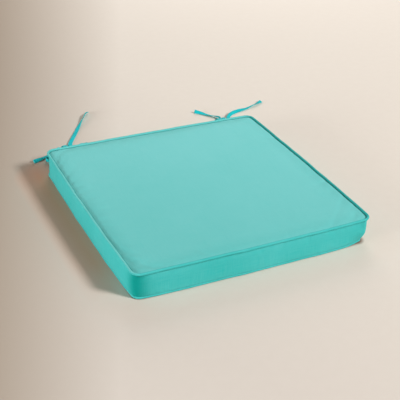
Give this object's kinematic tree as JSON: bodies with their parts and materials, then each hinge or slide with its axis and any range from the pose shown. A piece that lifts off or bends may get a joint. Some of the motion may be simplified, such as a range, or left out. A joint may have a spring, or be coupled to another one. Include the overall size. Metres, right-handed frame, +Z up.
{
  "type": "chair seat pad",
  "caption": "Square boxed and piped seat pad for a dining chair, with fabric ties at the rear corners and a zipped rear opening.",
  "frame": {"origin": "under the middle of the pad, on the surface that it rests on", "axes": "+X to the right seen from the front edge, +Y towards the rear edge that carries the ties and the zipper, +Z up out of the seat face"},
  "size_m": [0.5576, 0.6623, 0.0506],
  "materials": {
    "canvas": "plain-weave aqua canvas",
    "tie_canvas": "folded and stitched canvas strip",
    "foam": null,
    "batting": "polyester batting",
    "piping_cord": "soft filler cord",
    "zipper_tape": "herringbone zipper tape",
    "zipper_coil": "nylon coil",
    "zipper_metal": "enamelled zinc"
  },
  "bodies": {
    "pad": {"top_panel": "canvas", "bottom_panel": "canvas", "batting_top": "batting", "batting_bottom": "batting", "foam_core": "foam", "top_welt_cover": "canvas", "top_welt_cord": "piping_cord", "bottom_welt_cover": "canvas", "bottom_welt_cord": "piping_cord", "boxing_band": "canvas", "zipper_panel_upper": "canvas", "zipper_panel_lower": "canvas", "zipper_tape_upper": "zipper_tape", "zipper_tape_lower": "zipper_tape", "zipper_coil_upper": "zipper_coil", "zipper_coil_lower": "zipper_coil", "zipper_top_stop_upper": "zipper_metal", "zipper_top_stop_lower": "zipper_metal", "zipper_bottom_stop": "zipper_metal", "tie_tab_left": "tie_canvas", "tie_tab_right": "tie_canvas"},
    "slider": {"zipper_slider": "zipper_metal"},
    "pull": {"zipper_pull": "zipper_metal"},
    "left_ties": {"tie_left_long_rear": "tie_canvas", "tie_left_long_side": "tie_canvas", "tie_left_short_side": "tie_canvas", "tie_left_short_rear": "tie_canvas"},
    "right_ties": {"tie_right_long_rear": "tie_canvas", "tie_right_long_side": "tie_canvas", "tie_right_short_side": "tie_canvas", "tie_right_short_rear": "tie_canvas"}
  },
  "joints": [
    {"name": "zipper_slide", "type": "slide", "parent": "pad", "child": "slider", "axis": [1, 0, 0], "range_m": [-0.2335, 0]},
    {"name": "pull_flip", "type": "hinge", "parent": "slider", "child": "pull", "pos_m": [0.1169, 0.2168, 0.02548], "axis": [0, 0, -1], "range_deg": [0, 175]},
    {"name": "left_ties_lift", "type": "hinge", "parent": "pad", "child": "left_ties", "pos_m": [-0.171, 0.2223, 0.04375], "axis": [1, 0, 0], "range_deg": [0, 75]},
    {"name": "right_ties_lift", "type": "hinge", "parent": "pad", "child": "right_ties", "pos_m": [0.157, 0.2223, 0.04375], "axis": [1, 0, 0], "range_deg": [0, 75]}
  ]
}
